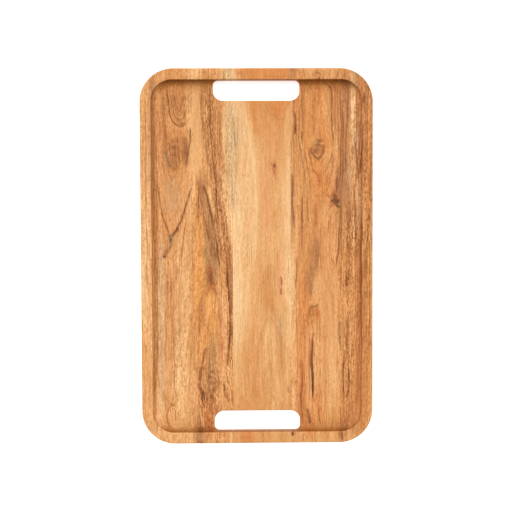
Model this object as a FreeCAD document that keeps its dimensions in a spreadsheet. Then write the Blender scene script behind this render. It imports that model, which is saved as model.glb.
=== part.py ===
import FreeCAD, Part
import math
import os
import Sketcher

# Serving tray carved from one edge-glued acacia panel, as a parametric document.
#
# Millimetres.  X runs across the tray, Y along it from the front handle to the
# back handle, Z up.  The origin is at the middle of the underside, so the tray
# rests on Z = 0.
#
# Four boards are glued edge to edge into a panel.  The basin, its coved foot and
# the two handle slots are then cut out of the whole panel, so each board carries
# its own share of floor, rim and handle.  The slots cut the centre board right
# through, which leaves a floor board and a short block in each handle bar.

DRIVING_SIZES = (
    ("tray_length", 450.0, "overall, front handle to back handle"),
    ("tray_width", 278.0, "overall, side to side"),
    ("tray_height", 18.0, "thickness of the glued panel"),
    ("floor_thickness", 8.0, "wood left under the basin"),
    ("rim_width", 13.5, "flat of the rim, seen from above"),
    ("outer_corner_radius", 40.0, "corners of the outline"),
    ("basin_corner_radius", 25.0, "corners of the basin"),
    ("cove_radius", 8.0, "hollow where the basin wall meets the floor"),
    ("slot_length", 104.0, "handle slot, across the tray"),
    ("slot_width", 24.0, "handle slot, along the tray"),
    ("slot_wall_inset", 0.5, "slot wall inside the foot of the basin wall"),
    ("slot_rim_radius", 6.0, "slot corners beside the rim"),
    ("slot_floor_radius", 12.0, "slot corners beside the floor"),
    ("rim_outer_round", 2.0, "eased edge, outside of the rim"),
    ("rim_inner_round", 1.0, "eased edge, basin side of the rim"),
    ("underside_round", 2.5, "eased edge round the underside"),
    ("slot_lower_round", 1.5, "eased edge round the slots, underside"),
    ("slot_upper_round", 1.0, "eased edge round the slots, beside the floor"),
    ("left_inner_width", 49.0, "board between the outer left and the centre board"),
    ("centre_left_inset", 23.0, "slot end to the centre board's left glue line"),
    ("centre_right_inset", 11.0, "slot end to the centre board's right glue line"),
    ("glue_film", 0.15, "thickness of a glue line"),
    ("fill_depth", 3.0, "depth of resin in a filled check or knot"),
    ("long_check_length", 76.0, "filled check in the right board"),
    ("long_check_width", 3.6, "filled check in the right board"),
    ("long_check_from_glue", 26.0, "check to the right board's glue line"),
    ("long_check_from_slot", 51.5, "middle of the check to the front slot"),
    ("knot_length", 13.0, "filled knot in the right board, along the grain"),
    ("knot_width", 9.0, "filled knot in the right board, across the grain"),
    ("knot_from_side", 43.0, "knot to the right side of the tray"),
    ("knot_from_middle", 67.0, "knot to the middle of the tray's length"),
    ("short_check_length", 12.0, "filled check in the left inner board"),
    ("short_check_width", 2.8, "filled check in the left inner board"),
    ("short_check_from_glue", 13.5, "check to the outer left glue line"),
    ("short_check_from_slot", 20.5, "middle of the check to the front slot"),
)

# Worked out from the driving sizes, as formulas of the same sheet.
DERIVED_SIZES = (
    ("basin_length", "=tray_length - 2 * rim_width", "basin, along the tray"),
    ("basin_width", "=tray_width - 2 * rim_width", "basin, across the tray"),
    ("basin_depth", "=tray_height - floor_thickness", "rim top to floor"),
    ("slot_outer_y", "=basin_length / 2 - slot_wall_inset", "slot wall beside the rim"),
    ("slot_inner_y", "=slot_outer_y - slot_width", "slot wall beside the floor"),
    ("slot_middle_y", "=slot_outer_y - slot_width / 2", "middle of the slot"),
    ("glue_x_2", "=centre_left_inset - slot_length / 2", "left side of the centre board"),
    ("glue_x_1", "=glue_x_2 - left_inner_width", "left side of the left inner board"),
    ("glue_x_3", "=slot_length / 2 - centre_right_inset", "right side of the centre board"),
)

doc = FreeCAD.newDocument("serving_tray")


# ---------------------------------------------------------------- the sheet

def make_sheet():
    """Every size of the tray, by name."""
    sheet = doc.addObject("Spreadsheet::Sheet", "sizes")
    row = 1
    for name, value, meaning in DRIVING_SIZES + DERIVED_SIZES:
        sheet.set("A%d" % row, name)
        sheet.set("B%d" % row, str(value))
        sheet.set("C%d" % row, meaning)
        sheet.setAlias("B%d" % row, name)
        row += 1
    doc.recompute()
    return sheet


sizes = make_sheet()


def bind(thing, **formulas):
    """Ties properties to formulas of the sheet; a double underscore stands for a dot."""
    for name, formula in formulas.items():
        thing.setExpression(name.replace("__", "."), formula)


# ------------------------------------------------------------ the sketches

def rounded_rectangle(sketch, width, bottom, top, bottom_radius, top_radius):
    """A rectangle with round corners, centred across the tray; each size is a formula."""
    half = 20.0
    start = 5.0
    low = FreeCAD.Vector(-half, -half, 0)
    high = FreeCAD.Vector(half, half, 0)
    corners = (
        (high.x - start, low.y + start, 270),
        (high.x - start, high.y - start, 0),
        (low.x + start, high.y - start, 90),
        (low.x + start, low.y + start, 180),
    )
    sides = (
        ((low.x + start, low.y), (high.x - start, low.y)),
        ((high.x, low.y + start), (high.x, high.y - start)),
        ((high.x - start, high.y), (low.x + start, high.y)),
        ((low.x, high.y - start), (low.x, low.y + start)),
    )
    for begin, end in sides:
        line = Part.LineSegment(FreeCAD.Vector(*begin, 0), FreeCAD.Vector(*end, 0))
        sketch.addGeometry(line, False)
    for x, y, angle in corners:
        circle = Part.Circle(FreeCAD.Vector(x, y, 0), FreeCAD.Vector(0, 0, 1), start)
        arc = Part.ArcOfCircle(circle, math.radians(angle), math.radians(angle + 90))
        sketch.addGeometry(arc, False)
    for side in range(4):
        arc = side + 4
        after = (side + 1) % 4
        sketch.addConstraint(Sketcher.Constraint("Tangent", side, 2, arc, 1))
        sketch.addConstraint(Sketcher.Constraint("Tangent", arc, 2, after, 1))
    sketch.addConstraint(Sketcher.Constraint("Vertical", 1))
    sketch.addConstraint(Sketcher.Constraint("Horizontal", 2))
    sketch.addConstraint(Sketcher.Constraint("Vertical", 3))
    sketch.addConstraint(Sketcher.Constraint("Symmetric", 0, 1, 0, 2, -2))
    sketch.addConstraint(Sketcher.Constraint("Equal", 4, 7))
    sketch.addConstraint(Sketcher.Constraint("Equal", 5, 6))
    named = (
        ("width", Sketcher.Constraint("DistanceX", 3, 1, 1, 1, 2 * half), width),
        ("bottom", Sketcher.Constraint("DistanceY", -1, 1, 0, 1, low.y), bottom),
        ("top", Sketcher.Constraint("DistanceY", -1, 1, 2, 1, high.y), top),
        ("bottom_radius", Sketcher.Constraint("Radius", 4, start), bottom_radius),
        ("top_radius", Sketcher.Constraint("Radius", 5, start), top_radius),
    )
    for name, constraint, formula in named:
        number = sketch.addConstraint(constraint)
        sketch.renameConstraint(number, name)
        sketch.setExpression("Constraints.%s" % name, formula)


def floor_plan(body, name, height=None):
    """An empty sketch that lies flat in the body, at a height given by a formula."""
    sketch = body.newObject("Sketcher::SketchObject", name)
    plane = next(f for f in body.Origin.OriginFeatures if f.Role == "XY_Plane")
    sketch.AttachmentSupport = [(plane, "")]
    sketch.MapMode = "FlatFace"
    if height:
        bind(sketch, AttachmentOffset__Base__z=height)
    return sketch


# ---------------------------------------------------------- the carved panel

def level_edges(shape, z, wanted=None):
    """Names of the level edges at height z, or of those whose middle point is wanted."""
    near = 1e-4
    names = []
    for number, edge in enumerate(shape.Edges, start=1):
        box = edge.BoundBox
        if abs(box.ZMin - z) > near or abs(box.ZMax - z) > near:
            continue
        middle = edge.valueAt((edge.FirstParameter + edge.LastParameter) / 2)
        if wanted is None or wanted(middle):
            names.append("Edge%d" % number)
    return names


def ease(body, name, radius, z, wanted=None):
    """Rounds level edges of the body's last feature."""
    last = body.Tip
    edges = level_edges(last.Shape, z, wanted)
    fillet = body.newObject("PartDesign::Fillet", name)
    fillet.Base = (last, edges)
    bind(fillet, Radius=radius)
    doc.recompute()


def pocket(body, name, plan, upwards=False, depth=None):
    """Cuts a plan out of the body, and makes sure that it took wood away."""
    least_cut = 1.0
    before = body.Tip.Shape.Volume
    cut = body.newObject("PartDesign::Pocket", name)
    cut.Profile = plan
    cut.Reversed = upwards
    if depth:
        bind(cut, Length=depth)
    else:
        cut.Type = "ThroughAll"
    doc.recompute()
    if cut.Shape.Volume > before - least_cut:
        raise RuntimeError("%s took no wood away" % name)


def inner_rim_edge(point):
    """Whether an edge on top of the rim is the basin's, not the outside one."""
    reach = sizes.rim_width - sizes.rim_inner_round
    across = sizes.tray_width / 2 - abs(point.x)
    along = sizes.tray_length / 2 - abs(point.y)
    return across > reach and along > reach


def within_basin(point):
    """Whether a point of an edge lies inside the basin's outline, or on it."""
    margin = sizes.rim_width / 2
    across = sizes.tray_width / 2 - abs(point.x)
    along = sizes.tray_length / 2 - abs(point.y)
    return across > margin and along > margin


def beside_slot(point):
    """Whether a point of the floor's edge lies on the outline of a slot."""
    near = 1e-3
    across = sizes.slot_length / 2 - abs(point.x)
    along = abs(point.y) - sizes.slot_inner_y
    return across > -near and along > -near


def carve_panel():
    """The whole tray as one carved panel, before it is told apart into boards."""
    body = doc.addObject("PartDesign::Body", "carved_panel")
    outline = floor_plan(body, "outline")
    rounded_rectangle(
        outline,
        "sizes.tray_width",
        "-sizes.tray_length / 2",
        "sizes.tray_length / 2",
        "sizes.outer_corner_radius",
        "sizes.outer_corner_radius",
    )
    blank = body.newObject("PartDesign::Pad", "glued_blank")
    blank.Profile = outline
    bind(blank, Length="sizes.tray_height")
    doc.recompute()
    ease(body, "rim_outer_edge", "sizes.rim_outer_round", sizes.tray_height)
    ease(body, "underside_edge", "sizes.underside_round", 0.0)

    basin_plan = floor_plan(body, "basin_plan", "sizes.tray_height")
    rounded_rectangle(
        basin_plan,
        "sizes.basin_width",
        "-sizes.basin_length / 2",
        "sizes.basin_length / 2",
        "sizes.basin_corner_radius",
        "sizes.basin_corner_radius",
    )
    pocket(body, "basin", basin_plan, depth="sizes.basin_depth")
    ease(body, "cove", "sizes.cove_radius", sizes.floor_thickness)
    ease(body, "rim_inner_edge", "sizes.rim_inner_round", sizes.tray_height, inner_rim_edge)

    slots = (
        ("back_slot", "sizes.slot_inner_y", "sizes.slot_outer_y", "floor", "rim"),
        ("front_slot", "-sizes.slot_outer_y", "-sizes.slot_inner_y", "rim", "floor"),
    )
    for name, low, high, low_side, high_side in slots:
        plan = floor_plan(body, name + "_plan")
        rounded_rectangle(
            plan,
            "sizes.slot_length",
            low,
            high,
            "sizes.slot_%s_radius" % low_side,
            "sizes.slot_%s_radius" % high_side,
        )
        pocket(body, name, plan, upwards=True)
    ease(body, "slot_lower_edges", "sizes.slot_lower_round", 0.0, within_basin)
    ease(
        body,
        "slot_upper_edges",
        "sizes.slot_upper_round",
        sizes.floor_thickness,
        beside_slot,
    )
    return body


# ------------------------------------------------------------- the pieces

FRONT_END = "-sizes.tray_length / 2"
BACK_END = "sizes.tray_length / 2"
FRONT_SLOT = "-sizes.slot_middle_y"
BACK_SLOT = "sizes.slot_middle_y"
LEFT_SIDE = "-sizes.tray_width / 2"
RIGHT_SIDE = "sizes.tray_width / 2"


def beside_glue(number, side):
    """The face of a board that meets a glue line: side is -1 for its left, 1 for its right."""
    return "sizes.glue_x_%d + %d * sizes.glue_film / 2" % (number, side)


def box(name, left, right, front, back):
    """A plain block through the panel's whole thickness, from four formulas."""
    block = doc.addObject("Part::Box", name)
    bind(
        block,
        Length="(%s) - (%s)" % (right, left),
        Width="(%s) - (%s)" % (back, front),
        Height="sizes.tray_height",
        Placement__Base__x=left,
        Placement__Base__y=front,
    )
    return block


def share_of_panel(name, left, right, front, back):
    """What the carved panel leaves of one board or one glue line."""
    block = box(name + "_block", left, right, front, back)
    share = doc.addObject("Part::Common", name)
    share.Base = panel
    share.Tool = block
    share.Label = name
    return share


def resin_fill(name, width, length, x, y):
    """Resin that fills a check or a knot flush with the floor of the basin."""
    outline = doc.addObject("Part::Ellipse", name + "_outline")
    bind(
        outline,
        MajorRadius=length + " / 2",
        MinorRadius=width + " / 2",
        Placement__Base__x=x,
        Placement__Base__y=y,
        Placement__Base__z="sizes.floor_thickness - sizes.fill_depth",
    )
    outline.Placement.Rotation = FreeCAD.Rotation(FreeCAD.Vector(0, 0, 1), 90)
    fill = doc.addObject("Part::Extrusion", name)
    fill.Base = outline
    fill.DirMode = "Custom"
    fill.Dir = FreeCAD.Vector(0, 0, 1)
    fill.Solid = True
    bind(fill, LengthFwd="sizes.fill_depth")
    fill.Label = name
    return fill


def board(name, left, right, front=FRONT_END, back=BACK_END, fills=()):
    """A board between two glue lines, less the pockets of its resin fills."""
    share = share_of_panel(name, left, right, front, back)
    for fill in fills:
        share.Label = "%s_before_%s" % (name, fill.Label)
        pocketed = doc.addObject("Part::Cut", "%s_with_%s" % (name, fill.Label))
        pocketed.Base = share
        pocketed.Tool = fill
        pocketed.Label = name
        share = pocketed
    return share


def glue_line(name, number, front=FRONT_END, back=BACK_END):
    """The film of glue between two boards."""
    left = beside_glue(number, -1)
    right = beside_glue(number, 1)
    return share_of_panel(name, left, right, front, back)


def make_pieces():
    """Every separate piece of the tray."""
    long_check = resin_fill(
        "long_check_fill",
        "sizes.long_check_width",
        "sizes.long_check_length",
        "sizes.glue_x_3 + sizes.long_check_from_glue",
        "sizes.long_check_from_slot - sizes.slot_inner_y",
    )
    knot = resin_fill(
        "knot_fill",
        "sizes.knot_width",
        "sizes.knot_length",
        "sizes.tray_width / 2 - sizes.knot_from_side",
        "sizes.knot_from_middle",
    )
    short_check = resin_fill(
        "short_check_fill",
        "sizes.short_check_width",
        "sizes.short_check_length",
        "sizes.glue_x_1 + sizes.short_check_from_glue",
        "sizes.short_check_from_slot - sizes.slot_inner_y",
    )
    pieces = [long_check, knot, short_check]
    pieces.append(board("left_outer_board", LEFT_SIDE, beside_glue(1, -1)))
    pieces.append(
        board("left_inner_board", beside_glue(1, 1), beside_glue(2, -1), fills=[short_check])
    )
    pieces.append(
        board("right_board", beside_glue(3, 1), RIGHT_SIDE, fills=[long_check, knot])
    )
    pieces.append(glue_line("left_outer_glue_line", 1))

    stretches = (
        ("centre_board", "floor", FRONT_SLOT, BACK_SLOT),
        ("front_bar_block", "front_bar", FRONT_END, FRONT_SLOT),
        ("back_bar_block", "back_bar", BACK_SLOT, BACK_END),
    )
    for block, place, front, back in stretches:
        pieces.append(board(block, beside_glue(2, 1), beside_glue(3, -1), front, back))
        pieces.append(glue_line(place + "_left_glue_line", 2, front, back))
        pieces.append(glue_line(place + "_right_glue_line", 3, front, back))
    return pieces


# --------------------------------------------------------- the finished files

def check(pieces):
    """Stops unless every object worked and every piece is one closed solid."""
    for thing in doc.Objects:
        if "Invalid" in thing.State or "Error" in thing.State:
            raise RuntimeError("%s failed: %s" % (thing.Name, thing.State))
    for piece in pieces:
        shape = piece.Shape
        if shape.isNull() or not shape.isValid() or len(shape.Solids) != 1:
            raise RuntimeError("%s is not one sound solid" % piece.Label)


panel = carve_panel()
tray = make_pieces()
doc.recompute()
check(tray)
os.makedirs("parts", exist_ok=True)
for piece in tray:
    piece.Shape.exportStep("parts/%s.step" % piece.Label)
    print("%-28s %9.1f cubic mm" % (piece.Label, piece.Shape.Volume))
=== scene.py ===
import math

import bpy
import numpy as np
from mathutils import Matrix, Vector
from mathutils.geometry import delaunay_2d_cdt


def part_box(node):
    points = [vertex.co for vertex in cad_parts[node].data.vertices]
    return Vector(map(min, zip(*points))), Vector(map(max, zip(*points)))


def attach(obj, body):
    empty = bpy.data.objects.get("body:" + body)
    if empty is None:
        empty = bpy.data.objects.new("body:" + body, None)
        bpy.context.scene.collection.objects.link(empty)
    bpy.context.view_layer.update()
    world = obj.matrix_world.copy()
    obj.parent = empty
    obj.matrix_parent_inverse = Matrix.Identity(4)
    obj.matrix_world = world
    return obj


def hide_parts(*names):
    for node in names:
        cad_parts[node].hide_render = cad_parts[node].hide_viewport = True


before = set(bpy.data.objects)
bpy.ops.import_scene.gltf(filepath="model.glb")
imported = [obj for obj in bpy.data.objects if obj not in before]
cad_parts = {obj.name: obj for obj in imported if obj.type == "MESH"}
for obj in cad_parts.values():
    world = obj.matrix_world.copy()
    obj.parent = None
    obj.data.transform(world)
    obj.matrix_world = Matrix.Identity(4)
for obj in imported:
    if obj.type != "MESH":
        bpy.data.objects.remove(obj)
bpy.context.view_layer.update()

# A serving tray carved from an edge-glued acacia panel.  Lengths are in
# millimetres up to the moment a mesh is made, and X, Y, Z are the CAD frame's:
# across the tray, along it towards the back handle, and up.
MM = 0.001


# ------------------------------------------------------------- the tray's sizes

def span(node, axis):
    """Lowest and highest coordinate of a CAD node along one axis, in millimetres."""
    low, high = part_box(node)
    return low[axis] / MM, high[axis] / MM


HALF_WIDTH = span("right_board", 0)[1]
HALF_LENGTH = span("right_board", 1)[1]
HEIGHT = span("right_board", 2)[1]
FLOOR = span("centre_board", 2)[1]
SLOT_NEAR = span("centre_board", 1)[1]
SLOT_FAR = span("back_bar_block", 1)[0]
SLOT_MIDDLE = (SLOT_NEAR + SLOT_FAR) / 2

RIM = 13.5
OUTER_RADIUS = 40.0
BASIN_RADIUS = 25.0
COVE = 8.0
SLOT_HALF = 52.0
SLOT_RIM_RADIUS = 6.0
SLOT_FLOOR_RADIUS = 12.0
RIM_OUTER_ROUND = 2.0
RIM_INNER_ROUND = 1.0
UNDERSIDE_ROUND = 2.5
SLOT_UPPER_ROUND = 1.0
SLOT_LOWER_ROUND = 1.5
# The slot's upper rounding fades in over this far beyond the basin's edge.
LIP_START = 1.0
LIP_FADE = 2.0
# Steep walls lean by a hair, so that their top and foot are separate lines of the mesh.
WALL_GAP = 0.02
POCKET_STEP = 0.06
POCKET_DEPTH = 3.0
# The resin stands this far below the wood, dips a little more in its middle, and
# keeps this far off the bottom of its pocket.
RESIN_DROP = 0.04
RESIN_DIP = 0.12
RESIN_LIFT = 0.02
RESIN_INSET = 0.6 * POCKET_STEP
RESIN_GRID = 0.5


# ---------------------------------------------------- distances to the outlines

def inside_by(x, y, half_x, half_y, radius):
    """How far a point lies inside a rectangle with round corners; negative outside."""
    qx = np.abs(x) - (half_x - radius)
    qy = np.abs(y) - (half_y - radius)
    corner = np.hypot(np.maximum(qx, 0), np.maximum(qy, 0))
    return radius - corner - np.minimum(np.maximum(qx, qy), 0)


def from_edge(x, y):
    """How far a point lies inside the tray's outline."""
    return inside_by(x, y, HALF_WIDTH, HALF_LENGTH, OUTER_RADIUS)


def from_basin(x, y):
    """How far a point lies inside the basin's upper edge."""
    return inside_by(x, y, HALF_WIDTH - RIM, HALF_LENGTH - RIM, BASIN_RADIUS)


def from_slot(x, y):
    """How far a point lies outside the nearer handle slot."""
    along = np.abs(y) - SLOT_MIDDLE
    radius = np.where(along > 0, SLOT_RIM_RADIUS, SLOT_FLOOR_RADIUS)
    return -inside_by(x, along, SLOT_HALF, SLOT_FAR - SLOT_MIDDLE, radius)


# -------------------------------------------------------- filled checks and knot

FILL_STATIONS = 60


class Fill:
    """Outline of a resin fill: a tapering streak with a gentle bend.

    The bend is its depth, its place along the fill and its reach.  The share is
    how much of the plug's width the streak takes up.
    """

    def __init__(self, node, bend, ripple, blunt, share):
        self.node = node
        self.x0, self.x1 = span(node, 0)
        self.y0, self.y1 = span(node, 1)
        self.bend = bend
        self.ripple = ripple
        self.blunt = blunt
        self.share = share

    def along(self, y):
        """Place along the fill, -1 at its front tip and 1 at its back tip."""
        return (2 * y - self.y0 - self.y1) / (self.y1 - self.y0)

    def middle(self, t):
        """The middle line's place across the tray."""
        depth, place, reach = self.bend
        middle = (self.x0 + self.x1) / 2 + 0.25 * depth
        return middle - depth * np.exp(-((t - place) / reach) ** 2)

    def half(self, t):
        """Half the width at t, with an uneven edge."""
        body = np.maximum(1 - np.abs(t) ** self.blunt, 0) ** 0.75
        uneven = 1 + self.ripple * np.sin(7 * t + 1) + self.ripple * np.sin(17 * t)
        return self.share * (self.x1 - self.x0) / 2 * body * uneven

    def inside_by(self, x, y):
        """How far a point lies inside the outline; negative outside."""
        t = self.along(y)
        return self.half(np.clip(t, -1, 1)) - np.abs(x - self.middle(t))

    def loop(self, inset):
        """The outline as a closed line, drawn in by inset."""
        t = np.linspace(-1, 1, FILL_STATIONS)
        y = self.y0 + (self.y1 - self.y0) * (t + 1) / 2
        half = np.maximum(self.half(t) - inset, 0)
        keep = half > 0
        t, y, half = t[keep], y[keep], half[keep]
        right = np.stack([self.middle(t) + half, y], 1)
        left = np.stack([self.middle(t) - half, y], 1)
        return np.concatenate([right, left[::-1]])


LONG_CHECK = Fill("long_check_fill", (1.5, 0.25, 0.36), ripple=0.10, blunt=3.4, share=0.88)
KNOT = Fill("knot_fill", (1.6, 0.5, 0.5), ripple=0.26, blunt=1.7, share=0.74)
SHORT_CHECK = Fill("short_check_fill", (1.2, 0.9, 0.7), ripple=0.12, blunt=2.0, share=0.66)
FILLS = (LONG_CHECK, KNOT, SHORT_CHECK)


# ---------------------------------------------------------- the carved surfaces

def quarter(distance, radius):
    """Drop of a quarter-round edge, at a distance in from the edge."""
    inward = np.clip(radius - distance, 0, radius)
    return radius - np.sqrt(np.maximum(radius ** 2 - inward ** 2, 0))


def upper_surface(x, y):
    """Height of the tray's upper surface."""
    basin = from_basin(x, y)
    rim = HEIGHT - quarter(from_edge(x, y), RIM_OUTER_ROUND)
    rim = rim - quarter(-basin, RIM_INNER_ROUND)
    cove = FLOOR + quarter(basin, COVE)
    z = np.where(basin > WALL_GAP / 2, cove, rim)
    lip = np.clip((basin - LIP_START) / LIP_FADE, 0, 1)
    z = z - lip * quarter(np.maximum(from_slot(x, y), 0), SLOT_UPPER_ROUND)
    for fill in FILLS:
        z = np.where(fill.inside_by(x, y) > POCKET_STEP / 2, FLOOR - POCKET_DEPTH, z)
    return z


def lower_surface(x, y):
    """Height of the tray's underside, with its eased edges."""
    z = quarter(from_edge(x, y), UNDERSIDE_ROUND)
    return z + quarter(np.maximum(from_slot(x, y), 0), SLOT_LOWER_ROUND)


# ------------------------------------------------------------- lines of the mesh

GRID_X = 0.88
GRID_Y = 1.3
GRID_GAP = 0.4
LOOP_STEP = 1.5
ARC_STEP = 0.9
LOOP_MARGIN = 4.0
WALL_LEVELS = 9
SHARP_ANGLE = 40.0


def rounded_loop(half_x, half_y, radii, centre_y=0.0):
    """Points round a rectangle with round corners; radii go for the low and high Y side."""
    points = []
    low, high = radii
    corners = (
        (half_x - low, -half_y + low, low, -90),
        (half_x - high, half_y - high, high, 0),
        (-half_x + high, half_y - high, high, 90),
        (-half_x + low, -half_y + low, low, 180),
    )
    for x, y, radius, start in corners:
        count = max(4, round(radius * math.pi / 2 / ARC_STEP))
        turn = np.radians(np.linspace(start, start + 90, count + 1))
        points.append(np.stack([x + radius * np.cos(turn), y + radius * np.sin(turn)], 1))
    points = np.concatenate(points)
    after = np.roll(points, -1, axis=0)
    full = []
    for here, there in zip(points, after):
        count = max(1, round(float(np.linalg.norm(there - here)) / LOOP_STEP))
        full.append(here + (there - here) * np.linspace(0, 1, count, endpoint=False)[:, None])
    full = np.concatenate(full)
    return full + np.array([0.0, centre_y])


def round_stations(radius, count):
    """Distances from an edge at which a quarter round is cut, at equal turns."""
    turn = np.linspace(0, math.pi / 2, count + 1)
    return radius * (1 - np.cos(turn))


EDGE_LOOPS = np.union1d(round_stations(RIM_OUTER_ROUND, 4), [UNDERSIDE_ROUND])
RIM_LOOPS = -round_stations(RIM_INNER_ROUND, 3)
COVE_LOOPS = np.maximum(round_stations(COVE, 10), WALL_GAP)
SLOT_LOOPS = np.union1d(round_stations(SLOT_UPPER_ROUND, 3), [SLOT_LOWER_ROUND])


def all_loops():
    """Every line that the tray's mesh follows: edges, roundings, cove and pockets."""
    loops = []
    for inward in EDGE_LOOPS:
        radius = OUTER_RADIUS - inward
        loops.append(rounded_loop(HALF_WIDTH - inward, HALF_LENGTH - inward, (radius, radius)))
    for inward in np.concatenate([RIM_LOOPS, COVE_LOOPS]):
        radius = BASIN_RADIUS - inward
        half_x = HALF_WIDTH - RIM - inward
        half_y = HALF_LENGTH - RIM - inward
        loops.append(rounded_loop(half_x, half_y, (radius, radius)))
    half_y = SLOT_FAR - SLOT_MIDDLE
    for outward in SLOT_LOOPS:
        for side in (-1, 1):
            radii = (SLOT_FLOOR_RADIUS + outward, SLOT_RIM_RADIUS + outward)[::side]
            half = (SLOT_HALF + outward, half_y + outward)
            loops.append(rounded_loop(*half, radii, side * SLOT_MIDDLE))
    for fill in FILLS:
        loops.append(fill.loop(0.0))
        loops.append(fill.loop(POCKET_STEP))
    return loops


LOOPS = all_loops()


def clear_of_loops(x, y):
    """Whether a grid point keeps clear of every line that the mesh follows."""
    clear = np.ones(x.shape, bool)
    for distance, stations in (
        (from_edge(x, y), EDGE_LOOPS),
        (from_basin(x, y), np.concatenate([RIM_LOOPS, COVE_LOOPS])),
        (from_slot(x, y), SLOT_LOOPS),
    ):
        for station in stations:
            clear &= np.abs(distance - station) > GRID_GAP
    for fill in FILLS:
        clear &= np.abs(fill.inside_by(x, y)) > GRID_GAP / 2
    return clear


# ----------------------------------------------------------------- plate meshes

def turn_upwards(flat, triangles):
    """Gives every triangle of a plan the same turn, so that it faces up."""
    a, b, c = (flat[triangles[:, k]] for k in range(3))
    ab, ac = b - a, c - a
    turned = ab[:, 0] * ac[:, 1] - ab[:, 1] * ac[:, 0] < 0
    triangles[turned] = triangles[turned][:, ::-1]


def open_edges(triangles, count):
    """Edges of a plan with a triangle on one side only."""
    steps = np.stack([triangles, np.roll(triangles, -1, 1)], 2).reshape(-1, 2)
    there = steps[:, 0] * count + steps[:, 1]
    back = steps[:, 1] * count + steps[:, 0]
    return steps[~np.isin(there, back)]


class Plate:
    """A closed piece of the tray between two X faces and two Y limits."""

    def __init__(self, x0, x1, y0, y1):
        self.limits = (x0, x1, y0, y1)
        self.close(*self.cut_plan())

    def cut_plan(self):
        """The piece's plan as points and triangles."""
        x0, x1, y0, y1 = self.limits
        columns = np.linspace(x0, x1, max(2, round((x1 - x0) / GRID_X) + 1))
        rows = np.linspace(y0, y1, round((y1 - y0) / GRID_Y) + 1)
        points = []
        edges = []
        for loop in LOOPS:
            near = (loop[:, 0] > x0 - LOOP_MARGIN) & (loop[:, 0] < x1 + LOOP_MARGIN)
            near &= (loop[:, 1] > y0 - LOOP_MARGIN) & (loop[:, 1] < y1 + LOOP_MARGIN)
            start = len(points)
            number = np.full(len(loop), -1)
            number[near] = start + np.arange(near.sum())
            points.extend(loop[near].tolist())
            joined = near & np.roll(near, -1)
            edges.extend(np.stack([number, np.roll(number, -1)], 1)[joined].tolist())
        border = (
            [(x0, y) for y in rows] + [(x, y1) for x in columns[1:]]
            + [(x1, y) for y in rows[::-1][1:]] + [(x, y0) for x in columns[::-1][1:-1]]
        )
        start = len(points)
        count = len(border)
        points.extend(border)
        edges.extend((start + i, start + (i + 1) % count) for i in range(count))
        if len(columns) > 2:
            gx, gy = (a.ravel() for a in np.meshgrid(columns[1:-1], rows[1:-1]))
            keep = clear_of_loops(gx, gy) & (from_edge(gx, gy) > 0) & (from_slot(gx, gy) > 0)
            points.extend(np.stack([gx[keep], gy[keep]], 1).tolist())
        made = delaunay_2d_cdt([Vector(p) for p in points], edges, [], 0, 1e-5)
        flat = np.array([(v.x, v.y) for v in made[0]])
        triangles = np.array(made[2])
        middle = flat[triangles].mean(1)
        keep = (middle[:, 0] > x0) & (middle[:, 0] < x1)
        keep &= (middle[:, 1] > y0) & (middle[:, 1] < y1)
        keep &= from_edge(*middle.T) > 0
        keep &= from_slot(*middle.T) > 0
        triangles = triangles[keep]
        turn_upwards(flat, triangles)
        used, triangles = np.unique(triangles, return_inverse=True)
        return flat[used], triangles.reshape(-1, 3)

    def close(self, flat, triangles):
        """Raises the plan to the upper and lower surface and closes the sides."""
        x, y = flat.T
        top = upper_surface(x, y)
        low = lower_surface(x, y)
        count = len(flat)
        border = open_edges(triangles, count)
        rim = np.unique(border)
        place = np.full(count, -1)
        place[rim] = np.arange(len(rim))
        points = [np.stack([x, y, top], 1), np.stack([x, y, low], 1)]
        for level in range(1, WALL_LEVELS):
            share = level / WALL_LEVELS
            z = top[rim] * (1 - share) + low[rim] * share
            points.append(np.stack([x[rim], y[rim], z], 1))

        def ring(level, vertex):
            if level == 0:
                return vertex
            if level == WALL_LEVELS:
                return vertex + count
            return 2 * count + (level - 1) * len(rim) + place[vertex]

        faces = [triangles, triangles[:, ::-1] + count]
        a, b = border.T
        for level in range(WALL_LEVELS):
            p, q = ring(level, a), ring(level, b)
            r, s = ring(level + 1, b), ring(level + 1, a)
            faces.append(np.stack([q, p, s], 1))
            faces.append(np.stack([q, s, r], 1))
        self.points = np.concatenate(points)
        self.faces = np.concatenate(faces)


def make_mesh(name, points, faces):
    """A smooth-shaded mesh object at the origin, from millimetres."""
    mesh = bpy.data.meshes.new(name)
    mesh.vertices.add(len(points))
    mesh.vertices.foreach_set("co", (points * MM).astype(np.float32).ravel())
    mesh.loops.add(faces.size)
    mesh.loops.foreach_set("vertex_index", faces.astype(np.int32).ravel())
    mesh.polygons.add(len(faces))
    starts = np.arange(0, faces.size, 3, dtype=np.int32)
    mesh.polygons.foreach_set("loop_start", starts)
    mesh.update(calc_edges=True)
    mesh.validate()
    mesh.shade_smooth()
    mesh.set_sharp_from_angle(angle=math.radians(SHARP_ANGLE))
    piece = bpy.data.objects.new(name, mesh)
    bpy.context.scene.collection.objects.link(piece)
    return piece


# ------------------------------------------------------------ the wood's colours

# Oiled acacia from sapwood to heartwood and knot, as it looks under white light.
WOOD = {
    "cream": (247, 200, 144),
    "sand": (224, 181, 128),
    "straw": (242, 187, 127),
    "honey": (233, 171, 109),
    "peach": (232, 160, 108),
    "orange": (230, 155, 83),
    "amber": (225, 158, 97),
    "beige": (210, 158, 108),
    "tan": (217, 148, 85),
    "copper": (221, 142, 76),
    "chestnut": (206, 134, 76),
    "olive": (190, 136, 84),
    "umber": (185, 124, 77),
    "rust": (194, 111, 58),
    "bark": (170, 106, 56),
    "cocoa": (146, 86, 45),
    "plum": (138, 77, 45),
    "walnut": (110, 62, 30),
    "slate": (112, 82, 58),
    "char": (68, 37, 18),
}
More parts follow.
